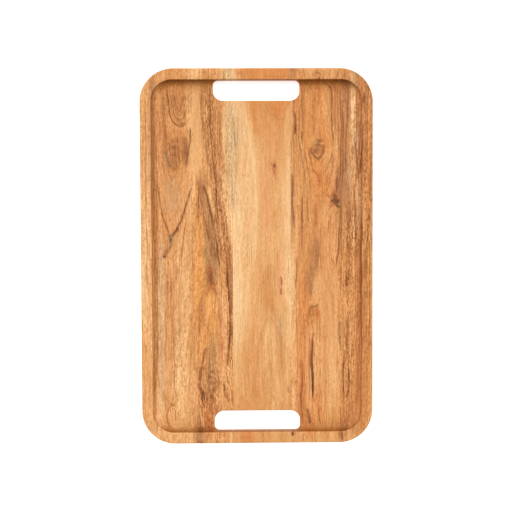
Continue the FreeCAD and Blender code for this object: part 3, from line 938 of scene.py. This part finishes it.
RIGHT = Timber(
    seed=404,
    pith=((225, 70, 30), (130, 73, 24), (0, 72, 26), (-60, 68, 14), (-120, 66, 10),
          (-225, 66, 14)),
    rings=((2.6, 2.2, 0.24), (7.1, 3.0, 0.22)),
    across=(43, 48, 54, 60, 66, 72, 78, 84, 90, 96, 101, 106, 112, 117, 122, 128, 134, 138),
    bands=(
        (220, "umber amber tan amber amber tan amber amber amber amber tan chestnut amber olive umber "
              "umber umber umber"),
        (200, "copper copper copper tan tan copper copper amber chestnut chestnut chestnut umber umber "
              "straw chestnut chestnut umber chestnut"),
        (170, "amber copper tan copper copper tan copper amber tan chestnut chestnut umber umber "
              "honey chestnut chestnut chestnut tan"),
        (140, "tan tan amber copper amber tan copper copper tan amber chestnut umber tan "
              "beige beige chestnut chestnut tan"),
        (110, "amber tan tan tan copper copper copper amber amber tan umber umber beige "
              "tan chestnut chestnut chestnut tan"),
        (80, "umber amber tan tan tan copper copper copper copper umber umber umber olive "
             "tan beige chestnut chestnut tan"),
        (50, "umber amber tan tan tan chestnut amber amber amber tan umber tan umber "
             "tan beige tan chestnut tan"),
        (20, "amber honey chestnut tan tan chestnut tan amber amber amber chestnut tan tan "
             "tan chestnut tan tan amber"),
        (-10, "straw amber tan tan chestnut chestnut amber amber amber amber tan tan tan "
              "tan chestnut chestnut tan amber"),
        (-40, "straw amber copper copper tan honey amber amber amber amber amber tan tan "
              "tan chestnut chestnut tan amber"),
        (-70, "honey amber copper copper tan copper amber amber amber amber tan tan tan "
              "tan chestnut chestnut tan amber"),
        (-100, "honey amber copper amber amber honey amber amber amber honey amber tan tan "
               "tan chestnut chestnut chestnut tan"),
        (-140, "honey amber copper amber amber honey honey amber honey honey amber tan tan "
               "tan chestnut chestnut chestnut tan"),
        (-180, "honey amber copper amber amber copper amber amber honey amber tan chestnut tan "
               "chestnut chestnut chestnut chestnut tan"),
        (-203, "amber tan copper copper copper tan copper amber tan tan chestnut umber chestnut "
               "umber chestnut chestnut tan amber"),
        (-220, "amber amber amber honey tan honey amber tan honey amber chestnut tan amber honey "
               "amber amber tan amber"),
    ),
    strokes=(
        ("walnut", 0.8, 0.85, ((46.4, 172), (46.8, 160), (46.6, 146))),
        ("bark", 0.7, 0.5, ((45.6, 200), (46.2, 176))),
        ("rust", 1.5, 0.5, ((69.6, 196), (69.8, 170), (68.6, 144))),
        ("bark", 0.7, 0.5, ((56.4, 196), (56.6, 150), (55, 128))),
        ("orange", 1.6, 0.5, ((61, 190), (62, 156), (61, 132))),
        ("cocoa", 0.8, 0.8, ((80, 209), (86, 207), (90.4, 202), (91.4, 190), (89.6, 170), (90.4, 152),
                             (92, 132))),
        ("bark", 0.7, 0.6, ((94.6, 206), (95, 180), (94, 150))),
        ("umber", 1.0, 0.55, ((97.4, 206), (98.4, 176), (98, 146), (99, 118))),
        ("cocoa", 0.7, 0.55, ((101.4, 200), (101.6, 160), (101, 120), (100.6, 84))),
        ("cocoa", 0.7, 0.6, ((104.4, 196), (103.8, 156), (103.8, 118), (103.6, 82))),
        ("cocoa", 0.8, 0.6, ((111, 203), (109.4, 180), (108, 160), (106.8, 138), (107, 104))),
        ("orange", 1.0, 0.45, ((106.4, 190), (105.6, 150), (105.4, 120))),
        ("straw", 2.3, 0.95, ((113.6, 208), (115.4, 198), (115.4, 180), (114, 160), (112.6, 146))),
        ("straw", 2.6, 0.7, ((116, 212), (114, 220))),
        ("beige", 2.4, 0.65, ((119.6, 180), (118.4, 160), (117.2, 140), (117, 112), (118, 90))),
        # This stroke is painted shade: a dark line along the right cove, near the rim.
        ("umber", 1.4, 0.5, ((121.6, 200), (122, 170), (123.4, 140), (124, 100))),
        ("walnut", 0.7, 0.6, ((128.6, 196), (128.4, 182))),
        ("walnut", 0.7, 0.5, ((126, 160), (126.2, 130), (123, 100))),
        ("bark", 0.8, 0.5, ((132.6, 200), (131.6, 150), (131, 100))),
        ("walnut", 0.7, 0.55, ((119.4, 140), (121, 110), (122, 90))),
        ("orange", 2.0, 0.6, ((66, 146), (62, 128), (66, 112), (72, 102))),
        ("cocoa", 1.0, 0.8, ((66.6, 133), (74, 134), (82, 132.6), (80, 123), (74.4, 115.6), (68, 122),
                              (64.6, 127), (66.6, 133))),
        ("bark", 6.2, 0.75, ((73, 132), (73.4, 127), (73, 122))),
        ("cocoa", 3.4, 0.5, ((70, 127), (76, 125))),
        ("slate", 2.0, 0.3, ((73, 130), (77, 141))),
        ("bark", 3.6, 0.6, ((76.6, 142), (77, 136))),
        ("bark", 1.0, 0.85, ((62.6, 132), (63, 120), (66, 110), (70, 102), (73.4, 97))),
        ("bark", 0.9, 0.65, ((92, 124), (88.6, 114), (83, 104), (78.6, 98))),
        ("honey", 1.6, 0.8, ((86, 130), (83, 122), (77, 116))),
        ("rust", 2.6, 0.6, ((74.4, 101), (75, 92), (75.6, 82))),
        ("bark", 0.7, 0.55, ((52, 136), (54, 118), (57, 104), (59, 88))),
        ("bark", 0.7, 0.5, ((57.4, 128), (60.4, 110), (63.6, 94), (65, 78))),
        ("bark", 0.7, 0.5, ((94, 122), (91, 108), (88.6, 96), (87, 82))),
        ("bark", 2.2, 0.45, ((98.4, 108), (98, 94), (98.4, 80))),
        ("plum", 1.4, 0.6, ((96.6, 94), (97, 84), (95.6, 76))),
        ("cocoa", 0.9, 0.75, ((42.2, 100), (42.6, 78), (43.2, 60), (44.8, 46), (45.4, 36))),
        ("umber", 0.8, 0.6, ((41.6, 140), (41.8, 110))),
        ("cocoa", 0.8, 0.7, ((54.4, 78), (54.8, 56), (54.8, 30), (54.2, 10))),
        ("cocoa", 0.8, 0.65, ((60.4, 72), (62, 56), (61.8, 40))),
        ("rust", 2.0, 0.45, ((70, 66), (70.8, 44), (70.4, 34))),
        ("orange", 3.0, 0.4, ((78, 52), (79, 34))),
        ("rust", 7.0, 0.6, ((92, 70), (98, 64))),
        ("bark", 1.1, 0.6, ((95, 66), (92, 76), (94, 82))),
        ("bark", 1.1, 0.6, ((95, 67), (100, 74), (101, 80))),
        ("bark", 1.1, 0.6, ((95, 67), (88, 71), (84, 74))),
        ("bark", 1.0, 0.5, ((95, 65), (90, 60), (86, 54))),
        ("bark", 1.0, 0.5, ((97, 64), (102, 58), (103, 52))),
        ("plum", 2.6, 0.75, ((93, 76), (94.6, 71))),
        ("walnut", 2.2, 0.85, ((90, 68), (94, 66), (99, 62))),
        ("char", 1.6, 0.85, ((92.6, 70.4), (96.4, 68.6), (100.4, 66))),
        ("char", 1.2, 0.85, ((97.6, 60.6), (100.6, 61))),
        ("sand", 0.8, 0.8, ((99.6, 65.4), (99.4, 62.6))),
        ("beige", 0.7, 0.6, ((89.4, 71.6), (92.8, 68))),
        ("bark", 0.7, 0.6, ((94, 58), (90, 50), (87, 42), (85.6, 28))),
        ("rust", 0.7, 0.5, ((98, 56), (93, 48))),
        ("cocoa", 0.8, 0.75, ((101.6, 58), (100.2, 44), (99, 22), (97.6, 4), (95, -14))),
        ("umber", 4.2, 0.75, ((71.6, 26), (71, 4), (67, -14), (63.6, -34), (62.4, -50))),
        ("bark", 0.8, 0.6, ((75.6, 6), (73, -10), (69, -22), (66.4, -36), (63.8, -52))),
        ("honey", 5.4, 0.8, ((80, -16), (76.6, -28), (72.6, -42))),
        ("rust", 0.9, 0.55, ((56.6, -26), (57, -46), (56, -64))),
        ("cocoa", 0.8, 0.5, ((48.8, -2), (48, -22), (46.4, -40))),
        ("straw", 2.0, 0.6, ((44.6, 10), (44.6, -20), (43.4, -50))),
        ("cocoa", 0.9, 0.6, ((75, -56), (71, -60), (67, -60), (64, -64), (63.4, -74))),
        ("rust", 2.2, 0.5, ((69, -63), (71.4, -68), (69.4, -72))),
        ("rust", 0.8, 0.5, ((62.4, -72), (63.4, -86))),
        ("rust", 1.0, 0.5, ((67.4, -76), (67.4, -94))),
        ("rust", 0.9, 0.7, ((96.4, -20), (101, -19.4))),
        ("rust", 0.8, 0.6, ((97, -23.6), (101, -25))),
        ("rust", 0.7, 0.6, ((96.6, -27), (99.6, -30))),
        ("cocoa", 0.9, 0.7, ((110.6, -14), (109.6, -24), (108.6, -36))),
        # This stroke is painted shade: a dark line along the right cove, near the rim.
        ("bark", 1.0, 0.6, ((124.6, 70), (124.2, 10), (124, -60), (122.8, -130), (121, -192))),
        ("bark", 1.1, 0.8, ((136.6, 92), (135.4, 66), (133.6, 42), (131.4, 16), (130, -4), (129.4, -30))),
        ("tan", 1.2, 0.6, ((137.8, 120), (137.8, 40), (137.8, -70))),
        *comb("cocoa", 0.7, 0.42, 8, 3.3, ((102.6, 70), (102, 20), (101, -50))),
        *comb("cocoa", 0.7, 0.26, 6, 3.1, ((104.6, -60), (105, -130), (104.6, -196))),
        *comb("cocoa", 0.7, 0.42, 6, 3.3, ((120, 206), (119.6, 140), (119.4, 80))),
        *comb("cocoa", 0.7, 0.45, 4, 3.2, ((126, 60), (125.4, -20), (126, -130))),
        *comb("cocoa", 0.7, 0.50, 5, 3.4, ((44, 200), (45, 160), (44.6, 130))),
        *comb("rust", 0.8, 0.50, 8, 4.7, ((48, -60), (48.6, -130), (48, -196))),
        *comb("rust", 0.7, 0.40, 5, 3.6, ((78, 40), (76, 10), (79, -30))),
        ("sand", 0.8, 0.5, ((117.6, 44), (117, 24), (116.6, 6))),
        ("walnut", 0.7, 0.5, ((117.8, 90), (118, 60), (119.4, 0))),
        ("bark", 0.7, 0.5, ((108.6, 60), (110, 20), (110.4, -8))),
        ("honey", 5.0, 0.4, ((74, -100), (74, -150))),
        ("rust", 2.0, 0.4, ((66.6, -96), (64, -120), (64.6, -136))),
        ("plum", 1.3, 0.5, ((67.8, -93), (68, -98))),
        ("beige", 1.3, 0.5, ((63, -134), (63, -158))),
        ("rust", 2.4, 0.4, ((66, -172), (68.6, -177))),
        ("rust", 2.0, 0.85, ((53, -122), (54.6, -138), (53.4, -158), (52.6, -176), (54, -204))),
        ("cocoa", 1.0, 0.8, ((54.8, -136), (53.4, -158), (52.8, -182), (54.4, -200))),
        ("cocoa", 1.9, 0.85, ((60.8, -184), (62.2, -192), (63.8, -203))),
        ("cocoa", 1.0, 0.6, ((63, -198), (64, -203))),
        ("bark", 0.8, 0.75, ((74.6, -184), (75, -195), (77.2, -204))),
        ("bark", 0.6, 0.6, ((100.4, -184), (101.4, -206))),
        ("slate", 1.0, 0.5, ((99.6, -78), (100.4, -96), (101.4, -112))),
        ("walnut", 0.6, 0.65, ((104.2, -126), (104.4, -166))),
        ("bark", 1.3, 0.65, ((109, -74), (109, -98), (108, -126))),
        ("walnut", 0.9, 0.55, ((111, -134), (112, -156), (108, -176))),
        ("beige", 1.2, 0.5, ((114, -60), (114, -130))),
        ("copper", 3.0, 0.5, ((76, -124), (79, -129))),
        ("bark", 3.0, 0.2, ((112, -176), (110, -200))),
        ("walnut", 1.4, 0.8, ((42, -211), (42.8, -216))),
        ("bark", 0.6, 0.6, ((54.6, -212), (54.4, -222))),
        ("bark", 1.0, 0.55, ((97.6, -212), (97.8, -222))),
        ("plum", 1.1, 0.6, ((101.4, -212), (101.4, -222))),
        ("bark", 0.9, 0.7, ((67, 216), (71.6, 220), (76, 217.6), (74.6, 211))),
        ("walnut", 1.2, 0.85, ((74.4, 213.4), (74.8, 211.6))),
        ("bark", 0.7, 0.6, ((43, 224), (45.4, 213))),
        ("bark", 0.7, 0.6, ((50, 224), (52.4, 213))),
        ("bark", 0.6, 0.5, ((55.6, 224), (57.6, 213))),
        ("bark", 0.7, 0.6, ((98, 224), (96.4, 213))),
        ("bark", 0.7, 0.6, ((106, 222), (104.4, 213))),
    ),
    coarse=(0.85, ((1.05, 14, ((126, 215), (125, 90), (126, -10))),
                   (0.9, 9, ((112, 60), (111, -60), (110, -205))),
                   (0.4, 10, ((130, -20), (131, -120))),
                   (-0.3, 9, ((80, 70), (84, -80), (86, -190))))),
    knots=((99.6, -21, 2.6, 1.0, "rust"), (70, -65, 3.0, 1.2, "rust"), (74, 128, 5.0, 1.1, "umber")),
)


# -------------------------------------------------------------------- finishes

class Finish:
    """A node material while it is being put together."""

    def __init__(self, name):
        self.material = bpy.data.materials.new(name)
        self.material.use_nodes = True
        self.nodes = self.material.node_tree.nodes
        self.links = self.material.node_tree.links
        self.shader = self.nodes["Principled BSDF"]

    def add(self, kind, inputs=None, **settings):
        """A new node, with its settings made and its inputs set or linked."""
        node = self.nodes.new(kind)
        for name, value in settings.items():
            setattr(node, name, value)
        for name, value in (inputs or {}).items():
            if isinstance(value, bpy.types.NodeSocket):
                self.links.new(value, node.inputs[name])
            else:
                node.inputs[name].default_value = value
        return node

    def math(self, operation, a, b):
        """The result of a sum on two values."""
        return self.add("ShaderNodeMath", {0: a, 1: b}, operation=operation).outputs[0]

    def noise(self, vector, scale, detail=2.0):
        """Noise stretched by a scale for each axis."""
        placed = self.add("ShaderNodeMapping", {"Vector": vector, "Scale": scale})
        noise = self.add(
            "ShaderNodeTexNoise",
            {"Vector": placed.outputs[0], "Scale": 1.0, "Detail": detail},
        )
        return noise.outputs["Fac"]

    def spread(self, value, low, high, to_low, to_high):
        """A value between low and high, spread between two others."""
        inputs = {0: value, 1: low, 2: high, 3: to_low, 4: to_high}
        return self.add("ShaderNodeMapRange", inputs).outputs[0]

    def bump(self, height, distance, strength):
        """Fine relief on the surface, its depth in metres."""
        inputs = {"Height": height, "Distance": distance, "Strength": strength}
        node = self.add("ShaderNodeBump", inputs)
        self.links.new(node.outputs[0], self.shader.inputs["Normal"])


# How closely flecks, fibres, streaks and pores lie to the millimetre, across, along
# and through the wood.
FLECK_SCALE = (0.85, 0.24, 0.85)
FIBRE_SCALE = (0.88, 0.05, 0.88)
STREAK_SCALE = (0.26, 0.012, 0.26)
PORE_SCALE = (1.1, 0.16, 1.1)
WOOD_GLOSS = 0.12
RESIN_GLOSS = 0.15
GRAIN_RELIEF = 0.00006
GLUE_RELIEF = 0.00003
RESIN_RELIEF = 0.0001


def oiled_acacia(name, fleck, streak, pore_depth):
    """Sanded and oiled acacia, over the board's own colour and run of fibres."""
    finish = Finish(name)
    tone = finish.add("ShaderNodeAttribute", attribute_name="tone").outputs["Color"]
    grain = finish.add("ShaderNodeAttribute", attribute_name="grain").outputs["Vector"]
    flecks = finish.noise(grain, FLECK_SCALE, 2.0)
    fibres = finish.noise(grain, FIBRE_SCALE, 1.0)
    streaks = finish.noise(grain, STREAK_SCALE, 2.0)
    placed = finish.add("ShaderNodeMapping", {"Vector": grain, "Scale": PORE_SCALE})
    cells = finish.add("ShaderNodeTexVoronoi", {"Vector": placed.outputs[0], "Scale": 1.0})
    pores = finish.spread(cells.outputs["Distance"], 0.12, 0.30, 1.0, 0.0)
    coarse = finish.add("ShaderNodeAttribute", attribute_name="coarse").outputs["Fac"]
    shade = finish.math("MULTIPLY", pores, pore_depth)
    for pattern, depth in ((flecks, fleck), (fibres, 0.8 * fleck)):
        dark = finish.spread(pattern, 0.34, 0.52, depth, 0.0)
        bright = finish.spread(pattern, 0.52, 0.66, -0.18 * depth, -0.42 * depth)
        shade = finish.math("ADD", shade, finish.math("ADD", dark, bright))
    shade = finish.math("MULTIPLY", shade, coarse)
    broad = finish.math("MULTIPLY", finish.math("SUBTRACT", 0.5, streaks), streak)
    shade = finish.math("ADD", shade, broad)
    taken = finish.add("ShaderNodeCombineXYZ")
    for channel, rate in enumerate(OIL):
        kept = finish.math("EXPONENT", finish.math("MULTIPLY", shade, -rate), 0.0)
        finish.links.new(kept, taken.inputs[channel])
    factors = {0: tone, 1: taken.outputs[0]}
    coloured = finish.add("ShaderNodeVectorMath", factors, operation="MULTIPLY")
    finish.links.new(coloured.outputs[0], finish.shader.inputs["Base Color"])
    rough = finish.spread(fibres, 0.3, 0.7, 0.46, 0.58)
    finish.links.new(rough, finish.shader.inputs["Roughness"])
    finish.shader.inputs["Specular IOR Level"].default_value = WOOD_GLOSS
    height = finish.math("SUBTRACT", fibres, finish.math("MULTIPLY", pores, 0.8))
    finish.bump(height, GRAIN_RELIEF, 0.5)
    return finish.material


def cured_glue(name):
    """Brown wood glue, sanded flush, a little uneven along the joint."""
    finish = Finish(name)
    place = finish.add("ShaderNodeTexCoord").outputs["Object"]
    blotches = finish.noise(place, (900.0, 60.0, 900.0), 2.0)
    ramp = finish.add("ShaderNodeValToRGB", {"Fac": blotches})
    ramp.color_ramp.elements[0].color = (*linear(WOOD["cocoa"]), 1)
    ramp.color_ramp.elements[1].color = (*linear(WOOD["chestnut"]), 1)
    finish.links.new(ramp.outputs[0], finish.shader.inputs["Base Color"])
    finish.links.new(finish.spread(blotches, 0.3, 0.7, 0.4, 0.6), finish.shader.inputs["Roughness"])
    finish.bump(blotches, GLUE_RELIEF, 0.4)
    return finish.material


def resin(name, scale, light):
    """Dark resin over its own colour, with cloudy lighter places, cut back and dull."""
    finish = Finish(name)
    place = finish.add("ShaderNodeTexCoord").outputs["Object"]
    tone = finish.add("ShaderNodeAttribute", attribute_name="tone").outputs["Color"]
    clouds = finish.noise(place, scale, 4.0)
    cover = finish.spread(clouds, 0.50, 0.72, 0.0, 0.8)
    mix = finish.add("ShaderNodeMix", {0: cover, 6: tone}, data_type="RGBA")
    mix.inputs[7].default_value = (*linear(WOOD[light]), 1)
    finish.links.new(mix.outputs[2], finish.shader.inputs["Base Color"])
    finish.shader.inputs["Specular IOR Level"].default_value = RESIN_GLOSS
    finish.links.new(finish.spread(clouds, 0.3, 0.7, 0.4, 0.6), finish.shader.inputs["Roughness"])
    finish.bump(clouds, RESIN_RELIEF, 0.5)
    return finish.material


# ------------------------------------------------------------------- the pieces

def make_board(node, timber, material):
    """Carves one board and gives it its figure and finish."""
    plate = Plate(*span(node, 0), *span(node, 1))
    piece = make_mesh(node + "_wood", plate.points, plate.faces)
    paint(piece, timber, plate.points)
    piece.data.materials.append(material)
    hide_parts(node)
    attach(piece, "root")


def make_fill(fill, material, shades):
    """Resin in its pocket, a touch below the wood, with a colour at places along it."""
    outline = fill.loop(RESIN_INSET)
    columns = np.arange(fill.x0, fill.x1, RESIN_GRID)
    rows = np.arange(fill.y0, fill.y1, RESIN_GRID)
    gx, gy = (a.ravel() for a in np.meshgrid(columns, rows))
    keep = fill.inside_by(gx, gy) > RESIN_INSET + RESIN_GRID / 3
    points = [Vector(p) for p in outline] + [Vector(p) for p in np.stack([gx[keep], gy[keep]], 1)]
    count = len(outline)
    edges = [(k, (k + 1) % count) for k in range(count)]
    made = delaunay_2d_cdt(points, edges, [list(range(count))], 1, 1e-6)
    flat = np.array([(v.x, v.y) for v in made[0]])
    triangles = np.array([f for f in made[2] if len(f) == 3])
    turn_upwards(flat, triangles)
    number = len(flat)
    x, y = flat.T
    dip = RESIN_DIP * np.clip(fill.inside_by(x, y), 0, 1)
    top = np.stack([x, y, FLOOR - RESIN_DROP - dip], 1)
    low = np.stack([x, y, np.full(number, FLOOR - POCKET_DEPTH + RESIN_LIFT)], 1)
    p, q = open_edges(triangles, number).T
    faces = np.concatenate([
        triangles,
        triangles[:, ::-1] + number,
        np.stack([q, p, p + number], 1),
        np.stack([q, p + number, q + number], 1),
    ])
    piece = make_mesh(fill.node + "_resin", np.concatenate([top, low]), faces)
    stops = [stop for stop, _ in shades]
    swatches = np.array([linear(WOOD[name]) for _, name in shades])
    along = np.concatenate([y, y])
    write_tone(piece, np.stack([np.interp(along, stops, c) for c in swatches.T], 1))
    piece.data.materials.append(material)
    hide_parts(fill.node)
    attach(piece, "root")


def make_boards():
    """The four boards and what the slots leave of the centre one."""
    brown = oiled_acacia("oiled_brown_acacia", 0.42, 0.40, 0.22)
    streaked = oiled_acacia("oiled_streaked_acacia", 0.42, 0.40, 0.28)
    pale = oiled_acacia("oiled_pale_acacia", 0.30, 0.35, 0.14)
    orange = oiled_acacia("oiled_orange_acacia", 0.36, 0.35, 0.26)
    make_board("left_outer_board", LEFT_OUTER, brown)
    make_board("left_inner_board", LEFT_INNER, streaked)
    for node in ("centre_board", "back_bar_block", "front_bar_block"):
        make_board(node, CENTRE, pale)
    make_board("right_board", RIGHT, orange)


def make_fills():
    """The resin in the two checks and the knot."""
    make_fill(LONG_CHECK, resin("check_resin", (300.0, 60.0, 300.0), "plum"),
              ((-174, "char"), (-162, "char"), (-146, "walnut"), (-139, "slate"), (-134, "plum"),
               (-120, "cocoa"), (-106, "plum"), (-97, "bark")))
    make_fill(KNOT, resin("knot_resin", (420.0, 380.0, 420.0), "bark"),
              ((60, "cocoa"), (66, "walnut"), (74, "cocoa")))
    make_fill(SHORT_CHECK, resin("small_check_resin", (300.0, 120.0, 300.0), "cocoa"),
              ((-173, "cocoa"), (-160, "plum")))


def finish_glue_lines():
    """Gives the films of glue between the boards their finish."""
    glue = cured_glue("cured_wood_glue")
    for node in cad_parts:
        if node.endswith("glue_line"):
            for place in bpy.data.objects[node].material_slots:
                place.material = glue


make_boards()
make_fills()
finish_glue_lines()


# -------------------------------------------------------------------- the studio

# The studio is in metres.
GROUND_HALF = 6.0
GROUND_LEVEL = -0.0002
GROUND_PALE = (0.90, 0.92)
GROUND_GLOW = 0.5
SKY_STRENGTH = 0.48
SUN_STRENGTH = 0.74 * math.pi / math.cos(math.radians(22))
SUN_SOFTNESS = math.radians(42)
SUN_TILT = (math.radians(-20), math.radians(-4), 0)
LENS = 87.24
EYE = (-0.037, 0.090, 1.500)
# Degrees by which the camera is rolled, and tilted sideways and lengthwise.
ROLL, TILT_SIDE, TILT_LENGTH = 0.30, 1.38, 3.42


def make_floor():
    """A plain pale floor, a hair below the tray."""
    signs = ((-1, -1), (1, -1), (1, 1), (-1, 1))
    corners = [(GROUND_HALF * a, GROUND_HALF * b, GROUND_LEVEL) for a, b in signs]
    mesh = bpy.data.meshes.new("studio_floor")
    mesh.from_pydata(corners, [], [(0, 1, 2, 3)])
    floor = bpy.data.objects.new("studio_floor", mesh)
    bpy.context.scene.collection.objects.link(floor)
    finish = Finish("pale_floor")
    place = finish.add("ShaderNodeTexCoord").outputs["Object"]
    mottle = finish.noise(place, (3.0, 3.0, 3.0), 2.0)
    ramp = finish.add("ShaderNodeValToRGB", {"Fac": mottle})
    for element, level in zip(ramp.color_ramp.elements, GROUND_PALE):
        element.color = (level, level, level, 1)
    finish.links.new(ramp.outputs[0], finish.shader.inputs["Base Color"])
    finish.shader.inputs["Roughness"].default_value = 0.9
    finish.shader.inputs["Specular IOR Level"].default_value = 0.1
    finish.shader.inputs["Emission Color"].default_value = (1, 1, 1, 1)
    finish.shader.inputs["Emission Strength"].default_value = GROUND_GLOW
    mesh.materials.append(finish.material)


def make_light():
    """An even white sky and one large soft light from the back."""
    world = bpy.data.worlds.new("studio")
    bpy.context.scene.world = world
    world.use_nodes = True
    world.node_tree.nodes["Background"].inputs["Color"].default_value = (1, 1, 1, 1)
    world.node_tree.nodes["Background"].inputs["Strength"].default_value = SKY_STRENGTH
    key = bpy.data.lights.new("softbox", "SUN")
    key.energy = SUN_STRENGTH
    key.angle = SUN_SOFTNESS
    lamp = bpy.data.objects.new("softbox", key)
    lamp.rotation_euler = SUN_TILT
    bpy.context.scene.collection.objects.link(lamp)
    bpy.context.scene.view_settings.view_transform = "Standard"


def make_camera():
    """A camera above the tray, looking almost straight down."""
    camera = bpy.data.cameras.new("camera")
    camera.sensor_width = 36.0
    camera.lens = LENS
    camera.clip_start = 0.05
    camera.clip_end = 60.0
    eye = bpy.data.objects.new("camera", camera)
    tilt = Matrix.Rotation(math.radians(ROLL), 3, "Z")
    tilt = tilt @ Matrix.Rotation(math.radians(TILT_SIDE), 3, "Y")
    tilt = tilt @ Matrix.Rotation(math.radians(TILT_LENGTH), 3, "X")
    eye.matrix_world = Matrix.Translation(EYE) @ tilt.transposed().to_4x4()
    bpy.context.scene.collection.objects.link(eye)
    bpy.context.scene.camera = eye


make_floor()
make_light()
make_camera()
